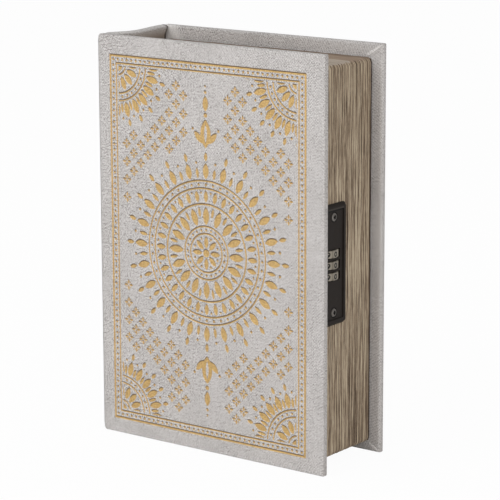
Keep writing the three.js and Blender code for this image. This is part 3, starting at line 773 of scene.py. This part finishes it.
pages = {
    "seed": 11,
    "endPoints": 120,
    "sidePoints": 178,
    "columns": 240,
    "cornerRound": 3.0 * mm,
    "tuck": 0.7 * mm,
    "lift": 0.06 * mm,
    "leafRelief": 0.2 * mm,
    "clumpRelief": 0.2 * mm,
    "swellRelief": 0.14 * mm,
    "headSwell": 0.45 * mm,
    "headRidge": (0.2, 0.45),
    "leafCells": (36, 120),
    "clumpCells": (60, 56),
    "swellCells": (9, 14),
    "plateInset": 1.5 * mm,
    "relief": 0.3 * mm,
    "wander": 1.2 * mm,
    "ruddyReach": (1.9 * mm, 0.5 * mm),
    "backShadeReach": (1.7 * mm, 1.1 * mm),
    "split": 5.5 * mm,
    "splitDrift": 6 * mm,
    "splitSoft": 0.6 * mm,
    "splitLine": (0.3 * mm, 1.2 * mm),
    "headFade": (7 * mm, 1 * mm),
    "light": shade(197, 182, 158),
    "tan": shade(152, 134, 113),
    "middle": shade(118, 102, 85),
    "dark": shade(66, 53, 44),
    "ruddy": shade(88, 60, 48),
    "pale": shade(182, 170, 158),
    "head": shade(152, 132, 116),
    "headLine": shade(212, 200, 186),
}


# Values carried to more rows by cubic weights
def spreadRows(values, count):
    place = np.linspace(0, len(values) - 1, count)
    index = np.minimum(place.astype(int), len(values) - 2)
    t = (place - index)[:, None]
    t = t * t * (3 - 2 * t)
    return values[index] * (1 - t) + values[index + 1] * t


# Smooth random field: coarse random lines carried along the edge, leaf by leaf
def leafField(generator, rows, columns, alongCount, acrossCount):
    coarse = generator.random((alongCount + 1, acrossCount + 1))
    return spreadRows(spreadRows(coarse, rows).T, columns).T


# Tail, fore-edge and head as one sheet: a path with two round corners, carried from the front
# leaf to the back one and pushed out leaf by leaf; the quads under the lock plate are left out
def pageEdges():
    generator = np.random.default_rng(pages["seed"])
    left, right, bottom, top = blockLow.x, blockHigh.x, blockLow.z, blockHigh.z
    radius = pages["cornerRound"]
    edge = right - radius
    bend = np.linspace(0, np.pi / 2, 12)[1:-1]
    endPoints, sidePoints = pages["endPoints"], pages["sidePoints"]
    sine, cosine = radius * np.sin(bend), radius * np.cos(bend)
    runs = [np.linspace(left, edge, endPoints), edge + sine, np.full(sidePoints, right), edge + cosine,
            np.linspace(edge, left, endPoints)]
    rises = [np.full(endPoints, bottom), bottom + radius - cosine,
             np.linspace(bottom + radius, top - radius, sidePoints), top - radius + sine,
             np.full(endPoints, top)]
    path = np.stack([np.concatenate(runs), np.concatenate(rises)], 1)
    normal = sideways(path)
    rows, columns = len(path), pages["columns"]
    leaf, clump, swell = (leafField(generator, rows, columns, *pages[key])
                          for key in ("leafCells", "clumpCells", "swellCells"))
    across = np.linspace(0, 1, columns)
    y = blockLow.y + across * (blockHigh.y - blockLow.y)
    push = (pages["lift"] + pages["leafRelief"] * leaf + pages["clumpRelief"] * clump
            + pages["swellRelief"] * swell)
    place, reach = pages["headRidge"]
    headRidge = pages["headSwell"] * np.clip(1 - np.abs(across - place) / reach, 0, 1) ** 1.3
    push = push + np.clip(normal[:, 1:], 0, 1) * headRidge
    push[:, [0, -1]] = -pages["tuck"]
    flat = path[:, None] + normal[:, None] * push[..., None]
    points = np.stack([flat[..., 0], np.broadcast_to(y, push.shape), flat[..., 1]], -1)
    quads = gridQuads(rows, columns, flip=True)
    middle = points.reshape(-1, 3)[quads].mean(1)
    inset = pages["plateInset"]
    under = (middle > np.array(plateLow) + inset) & (middle < np.array(plateHigh) - inset)
    under = under[:, 1:].all(1) & (middle[:, 0] > edge)
    uv = np.stack(np.broadcast_arrays(walkedAlong(path)[:, None], y), -1)
    return meshPiece("page_edges", points, quads[~under], pageMaterial(), "case", "pages", uv=uv,
                     tone=0.42 * leaf + 0.33 * clump + 0.25 * swell,
                     atEnds=np.broadcast_to(normal[:, 1:], push.shape))


# Page edges: tones by leaf, then long, short and fine streaks whose lines wander a little, a
# ruddy line beside the back cover with a painted shade line at the very back, and a pale head
# that the streaks end at raggedly
def pageMaterial():
    material, tree, shader = startMaterial("page_edges")
    place = addNode(tree, "UVMap", uv_map="cloth").outputs[0]
    shift = joined("CombineXYZ", {1: swing(noise(place, 45.0), pages["wander"])})
    line = joined("VectorMath", {0: place, 1: shift}, operation="ADD")
    long = noise(stretched(line, (9.0, 1350.0, 1.0)), 1.0)
    short = noise(stretched(line, (45.0, 1900.0, 1.0)), 1.0, 3.0, 0.6)
    fine = noise(stretched(line, (260.0, 3000.0, 1.0)), 1.0, 2.0, 0.6)
    level = times(attribute(tree, "tone"), 0.35)
    for streak, share in ((long, 1.35), (short, 1.25), (fine, 0.45)):
        level = plus(level, times(streak, share))
    level = joined("MapRange", {0: level, 1: 1.36, 2: 1.92})
    colour = ramp(level, [(0.0, pages["dark"]), (0.38, pages["middle"]), (0.62, pages["tan"]),
                          (1.0, pages["light"])])
    depth = parts(place)[1]
    fromBack = minus(blockHigh.y, depth)
    colour = mixColour(ranged(fromBack, *pages["ruddyReach"], 0.0, 0.75), colour, pages["ruddy"])
    # Painted shade: a dark line where the block meets the back cover
    colour = mixColour(ranged(fromBack, *pages["backShadeReach"]), colour, pages["dark"])
    fromSplit = minus(plus(depth, swing(noise(place, 90.0), pages["splitDrift"])), pages["split"])
    pastSplit = ranged(fromSplit, -pages["splitSoft"], pages["splitSoft"])
    head = mixColour(pastSplit, pages["pale"], pages["head"])
    atSplit = ranged(calc("ABSOLUTE", fromSplit), *pages["splitLine"], 0.55, 0.0)
    head = mixColour(0.3, mixColour(atSplit, head, pages["headLine"]), colour)
    head = mixColour(ranged(fromBack, *pages["headFade"], 0.0, 0.7), head, pages["middle"])
    teeth = noise(stretched(place, (3.0, 620.0, 1.0)), 1.0)
    ragged = plus(attribute(tree, "atEnds"), swing(teeth, 0.8))
    colour = mixColour(ranged(ragged, 0.74, 0.82), colour, head)
    relief = plus(times(long, 0.6), times(short, 0.5))
    fill(shader, {"Base Color": colour, "Roughness": 0.85, "Specular IOR Level": 0.2,
                  "Normal": bump(relief, 0.7, pages["relief"])})
    return material


pageEdges()
print("page edges done")

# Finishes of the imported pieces

def dress(material, *names):
    for name in names:
        nodes[name].data.materials.clear()
        nodes[name].data.materials.append(material)


def objectPlace(tree):
    return addNode(tree, "TexCoord").outputs["Object"]


# Paper or board: fibre noise in colour and bump
def paperMaterial(name, dark, light, scale):
    material, tree, shader = startMaterial(name)
    place = objectPlace(tree)
    fibre = noise(place, scale, 5.0, 0.65)
    cloud = noise(place, scale / 30)
    level = plus(times(fibre, 0.7), times(cloud, 0.3))
    fill(shader, {"Base Color": ramp(level, [(0.3, dark), (0.7, light)]), "Roughness": 0.9,
                  "Normal": bump(fibre, 0.4, 0.1 * mm)})
    return material


# Flocked card: short soft fibres, darker where they part
def flockMaterial():
    material, tree, shader = startMaterial("flock")
    place = objectPlace(tree)
    pile = noise(place, 2600.0, 3.0, 0.7)
    level = plus(times(pile, 0.6), times(noise(place, 60.0, 3.0, 0.6), 0.4))
    colour = ramp(level, [(0.35, shade(20, 19, 19)), (0.7, shade(48, 45, 44))])
    fill(shader, {"Base Color": colour, "Roughness": 1.0, "Sheen Weight": 0.1,
                  "Normal": bump(pile, 0.7, 0.3 * mm)})
    return material


# Metal or lacquer: a base colour, cloudy roughness and a grain that may be drawn out along an axis
def metalMaterial(name, colour, wearAndPaintedLight, metallic, roughness, grain, stretch=(1.0, 1.0, 1.0)):
    material, tree, shader = startMaterial(name)
    place = objectPlace(tree)
    fine = noise(stretched(place, stretch), grain, 3.0, 0.6)
    cloud = noise(place, 140.0, 3.0, 0.6)
    level = plus(times(fine, 0.6), times(cloud, 0.4))
    rough = calc("ADD", swing(cloud, 0.25), roughness, clamp=True)
    fill(shader, {"Base Color": ramp(level, [(0.3, colour), (0.75, wearAndPaintedLight)]), "Metallic": metallic,
                  "Roughness": rough, "Normal": bump(fine, 0.15, 0.05 * mm)})
    return material


# Recess and cross are radii about a screw's axis; lines are places below the plate's upper rim
lockShading = {
    "rim": 3.4 * mm,
    "rimSoft": (0.1 * mm, -0.2 * mm),
    "screwRise": 27.5 * mm,
    "recess": (1.9 * mm, 3.2 * mm),
    "cross": (0.0, 1.35 * mm),
    "innerSoft": 0.3 * mm,
    "outerSoft": 0.4 * mm,
    "shadowTop": (-0.1 * mm, 0.1 * mm),
    "shadowFoot": (1.1 * mm, 0.7 * mm),
    "wearAndHighlightTop": (-1.2 * mm, -0.7 * mm),
    "wearAndHighlightFoot": (0.0, -0.2 * mm),
    "paintedShade": shade(7, 6, 5),
    "wearAndHighlight": shade(62, 56, 51),
}


# Painted shade on the lock: a dark ring between two radii about each screw's axis, in its
# recess. The plate also has a painted highlight line on its upper rim, a painted shadow line
# under that and painted shade on its lower bevel, which faces down
def shadeLock(material, inner, outer, plate=False):
    tree = material.node_tree
    shader = tree.nodes["Principled BSDF"]
    colour = shader.inputs["Base Color"].links[0].from_socket
    _, y, z = parts(objectPlace(tree))
    middle, half = (plateLow + plateHigh) / 2, (plateHigh - plateLow) / 2
    aside, level = calc("ABSOLUTE", minus(y, middle.y)), minus(z, middle.z)
    fromScrew = minus(calc("ABSOLUTE", level), lockShading["screwRise"])
    radius = calc("SQRT", plus(calc("POWER", aside, 2.0), times(fromScrew, fromScrew)))
    ring = ranged(radius, outer, outer - lockShading["outerSoft"])
    if inner:
        ring = times(ring, ranged(radius, inner - lockShading["innerSoft"], inner))
    # Painted shade in the recess about each screw on the plate, and over the cross recess on the screws
    # themselves
    colour = mixColour(times(ring, 0.9), colour, lockShading["paintedShade"])
    if plate:
        panel = half.y - lockShading["rim"]
        onPanel = ranged(aside, *(panel + soft for soft in lockShading["rimSoft"]))
        below = minus(half.z - lockShading["rim"], level)
        # Painted shadow under the plate's upper rim and a painted highlight along that rim's edge
        for line, tone in (("shadow", "paintedShade"), ("wearAndHighlight", "wearAndHighlight")):
            share = times(ranged(below, *lockShading[line + "Top"]), ranged(below, *lockShading[line + "Foot"]))
            colour = mixColour(times(share, onPanel), colour, lockShading[tone])
        # Painted shade on faces that point down, such as the lower bevel
        facing = parts(addNode(tree, "NewGeometry").outputs["Normal"])[2]
        colour = mixColour(ranged(facing, -0.1, -0.5, 0.0, 0.85), colour, lockShading["paintedShade"])
        fill(shader, {"Specular IOR Level": 0.3})
    fill(shader, {"Base Color": colour})


boardPaper = paperMaterial("grey_board", shade(128, 120, 108), shade(158, 149, 136), 900.0)
liningPaper = paperMaterial("lining_paper", shade(44, 39, 37), shade(64, 57, 53), 1200.0)
endPaper = paperMaterial("endpaper", shade(92, 76, 62), shade(118, 99, 82), 1200.0)
blockPaper = paperMaterial("block_paper", shade(112, 96, 78), shade(150, 133, 111), 1000.0)
flock = flockMaterial()
drawn = (1.0, 1.0, 0.1)
bronze = metalMaterial("plate_bronze", shade(29, 23, 19), shade(42, 35, 30), 0.2, 0.6, 2200.0)
# Painted shade and highlight lines on the plate
shadeLock(bronze, *lockShading["recess"], plate=True)
blackZinc = metalMaterial("housing_black", shade(20, 19, 18), shade(32, 30, 29), 0.3, 0.5, 1500.0)
steel = metalMaterial("plated_steel", shade(172, 170, 166), shade(196, 194, 190), 1.0, 0.32, 900.0, drawn)
screwBlack = metalMaterial("screw_oxide", shade(104, 99, 95), shade(146, 141, 136), 0.85, 0.34, 1500.0)
# Painted shade over the screws' cross recesses
shadeLock(screwBlack, *lockShading["cross"])
nickel = metalMaterial("dial_nickel", shade(134, 127, 115), shade(182, 174, 160), 0.9, 0.34, 1400.0, drawn)
brass = metalMaterial("brass", shade(170, 136, 78), shade(196, 162, 100), 1.0, 0.34, 1200.0)

dress(boardPaper, "front_cover_board", "back_cover_board", "spine_board")
dress(liningPaper, "front_cover_lining", "back_cover_lining")
dress(endPaper, "back_endpaper")
dress(blockPaper, "page_block")
dress(flock, "compartment_liner", "compartment_floor")
dress(bronze, "lock_plate")
dress(blackZinc, "lock_housing")
dress(steel, "catch_comb", "catch_rivet_lower", "catch_rivet_upper", "dial_axle", "axle_clip")
dress(screwBlack, "plate_screw_lower", "plate_screw_upper")
dress(nickel, "dial_1", "dial_2", "dial_3")
dress(brass, "dial_cam_1", "dial_cam_2", "dial_cam_3", "detent_spring")

# Dial numbers

digits = {
    "halfWidth": 1.05 * mm,
    "halfHeight": 1.2 * mm,
    "stroke": 0.8 * mm,
    "raise": 0.03 * mm,
    "sink": 0.12 * mm,
    "points": 15,
}


# Part of an ellipse between two bearings, in a cell from -1 to 1
def bow(x, z, wide, high, start, end):
    bearing = np.radians(np.linspace(start, end, digits["points"]))
    return np.stack([x + wide * np.cos(bearing), z + high * np.sin(bearing)], 1)


def stroke(fromX, fromZ, toX, toZ):
    return np.linspace((fromX, fromZ), (toX, toZ), digits["points"])


numerals = [
    [bow(0, 0, 0.95, 1, 0, 360)],
    [stroke(-0.6, 0.55, 0.1, 1), stroke(0.1, 1, 0.1, -1)],
    [bow(0, 0.42, 0.9, 0.58, 170, -30), stroke(0.78, 0.13, -0.9, -1), stroke(-0.95, -1, 0.95, -1)],
    [bow(0, 0.5, 0.8, 0.5, 150, -90), bow(0, -0.5, 0.9, 0.5, 90, -150)],
    [stroke(0.4, -1, 0.4, 1), stroke(0.4, 1, -0.95, -0.4), stroke(-0.95, -0.4, 0.95, -0.4)],
    [stroke(0.85, 1, -0.7, 1), stroke(-0.7, 1, -0.8, 0.1), bow(0, -0.36, 0.9, 0.64, 140, -150)],
    [bow(0, -0.4, 0.9, 0.6, 0, 360), bow(0.75, -0.4, 1.65, 1.4, 180, 105)],
    [stroke(-0.95, 1, 0.95, 1), stroke(0.95, 1, -0.25, -1)],
    [bow(0, 0.5, 0.75, 0.5, 0, 360), bow(0, -0.48, 0.92, 0.52, 0, 360)],
    [bow(0, 0.4, 0.9, 0.6, 0, 360), bow(-0.75, 0.4, 1.65, 1.4, 0, -75)],
]


# Strokes as ribbons bent round the dial: a point at x along the rim stands at the bearing x / radius
def dialNumbers(name, body, node):
    low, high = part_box(node)
    centre, radius = (low + high) / 2, (high.y - low.y) / 2
    ribbons = []
    for value, strokes in enumerate(numerals):
        bearing = np.radians(value * 36)
        for line in strokes:
            line = line * [digits["halfWidth"], digits["halfHeight"]]
            side = -sideways(line) * digits["stroke"] / 2
            ring = np.stack([line - side, line + side, line + side, line - side], 1)
            out = radius + np.repeat([digits["raise"], -digits["sink"]], 2)
            angle = bearing + ring[..., 0] / radius
            points = np.stack([centre.x + out * np.cos(angle), centre.y + out * np.sin(angle),
                               centre.z + ring[..., 1]], -1).reshape(-1, 3)
            ends = np.arange(4) + [[0], [len(points) - 4]]
            ribbons.append((points, np.vstack([gridQuads(len(line), 4, closed=True), ends])))
    points, quads = joinGrids(*ribbons)
    return meshPiece(name, points, quads, inkMaterial, body, "dial", outward=True)


inkMaterial = metalMaterial("number_ink", shade(10, 9, 8), shade(20, 18, 17), 0.0, 0.6, 1800.0)
for body, node in (("top_dial", "dial_1"), ("middle_dial", "dial_2"), ("bottom_dial", "dial_3")):
    dialNumbers(body + "_numbers", body, node)
print("lock done")

# Stage, light and camera

stageLooks = {
    "floorSize": 8.0,
    "floorDrop": 0.3 * mm,
    "skyLight": 0.62,
    "lowLight": 0.3,
    "background": 1.0,
    "floorWhite": 0.96,
}
lamps = {
    "key": {"aimZ": 0.12, "azimuth": -14, "elevation": 24, "distance": 1.7, "size": 1.5, "power": 14.2,
            "colour": (0.98, 0.99, 1)},
    "fill": {"aimZ": 0.1, "azimuth": 55, "elevation": 6, "distance": 2.0, "size": 1.4, "power": 14.2,
             "colour": (1, 0.96, 0.925)},
}


def makeWorld():
    world = bpy.data.worlds.new("studio")
    world.use_nodes = True
    tree = world.node_tree
    light = tree.nodes["Background"]
    height = parts(addNode(tree, "TexCoord").outputs["Generated"])[2]
    room = ranged(height, -0.1, 0.7, stageLooks["lowLight"], stageLooks["skyLight"])
    path = addNode(tree, "LightPath")
    seen = calc("MAXIMUM", path.outputs["Is Camera Ray"], path.outputs["Is Transmission Ray"])
    fill(light, {"Color": (1, 1, 1, 1), "Strength": mixValue(seen, room, stageLooks["background"])})
    bpy.context.scene.world = world


# White floor: the camera sees it nearly as its own light, so that only a trace of shadow stays
def makeFloor():
    half = stageLooks["floorSize"] / 2
    mesh = bpy.data.meshes.new("floor")
    corners = [(-half, -half, 0), (half, -half, 0), (half, half, 0), (-half, half, 0)]
    mesh.from_pydata(corners, [], [(0, 1, 2, 3)])
    floor = newObject("floor", mesh)
    floor.location.z = -stageLooks["floorDrop"]
    material, tree, shader = startMaterial("floor_white")
    fill(shader, {"Base Color": (0.9, 0.9, 0.9, 1), "Roughness": 1.0})
    glow = addNode(tree, "Emission", {"Color": (1, 1, 1, 1), "Strength": 1.0})
    path = addNode(tree, "LightPath")
    amount = times(path.outputs["Is Camera Ray"], stageLooks["floorWhite"])
    both = addNode(tree, "MixShader", {0: amount, 1: shader.outputs[0], 2: glow.outputs[0]})
    fill(tree.nodes["Material Output"], {"Surface": both.outputs[0]})
    mesh.materials.append(material)


def fromBearing(look):
    a, e = np.radians(look["azimuth"]), np.radians(look["elevation"])
    return Vector((np.sin(a) * np.cos(e), -np.cos(a) * np.cos(e), np.sin(e)))


def makeLamps():
    for name, look in lamps.items():
        data = bpy.data.lights.new(name, "AREA")
        data.size = look["size"]
        data.energy = look["power"]
        data.color = look["colour"]
        lamp = newObject(name, data)
        back = fromBearing(look)
        lamp.location = Vector((0, 0, look["aimZ"])) + back * look["distance"]
        lamp.rotation_euler = (-back).to_track_quat("-Z", "Y").to_euler()


# Camera fitted to the photograph's view: focal length in pixels of the frame
view = {
    "focal": 2380,
    "framePixels": 500,
    "azimuth": 36.83,
    "elevation": 12.34,
    "distance": 1348 * mm,
    "aimX": 30.25 * mm,
    "aimZ": 124.85 * mm,
    "roll": -0.183,
}


def makeCamera():
    data = bpy.data.cameras.new("camera")
    data.sensor_width = 36
    data.lens = view["focal"] / view["framePixels"] * data.sensor_width
    camera = newObject("camera", data)
    back = fromBearing(view)
    right = Vector((-back.y, back.x, 0)).normalized()
    up = back.cross(right)
    aim = Vector((view["aimX"], frontLow.y, view["aimZ"]))
    turn = Matrix((right, up, back)).transposed().to_4x4()
    tilt = Matrix.Rotation(np.radians(view["roll"]), 4, "Z")
    camera.matrix_world = Matrix.Translation(aim + back * view["distance"]) @ turn @ tilt
    bpy.context.scene.camera = camera


makeWorld()
makeFloor()
makeLamps()
makeCamera()
bpy.context.scene.view_settings.view_transform = "Standard"

print("scene ready")
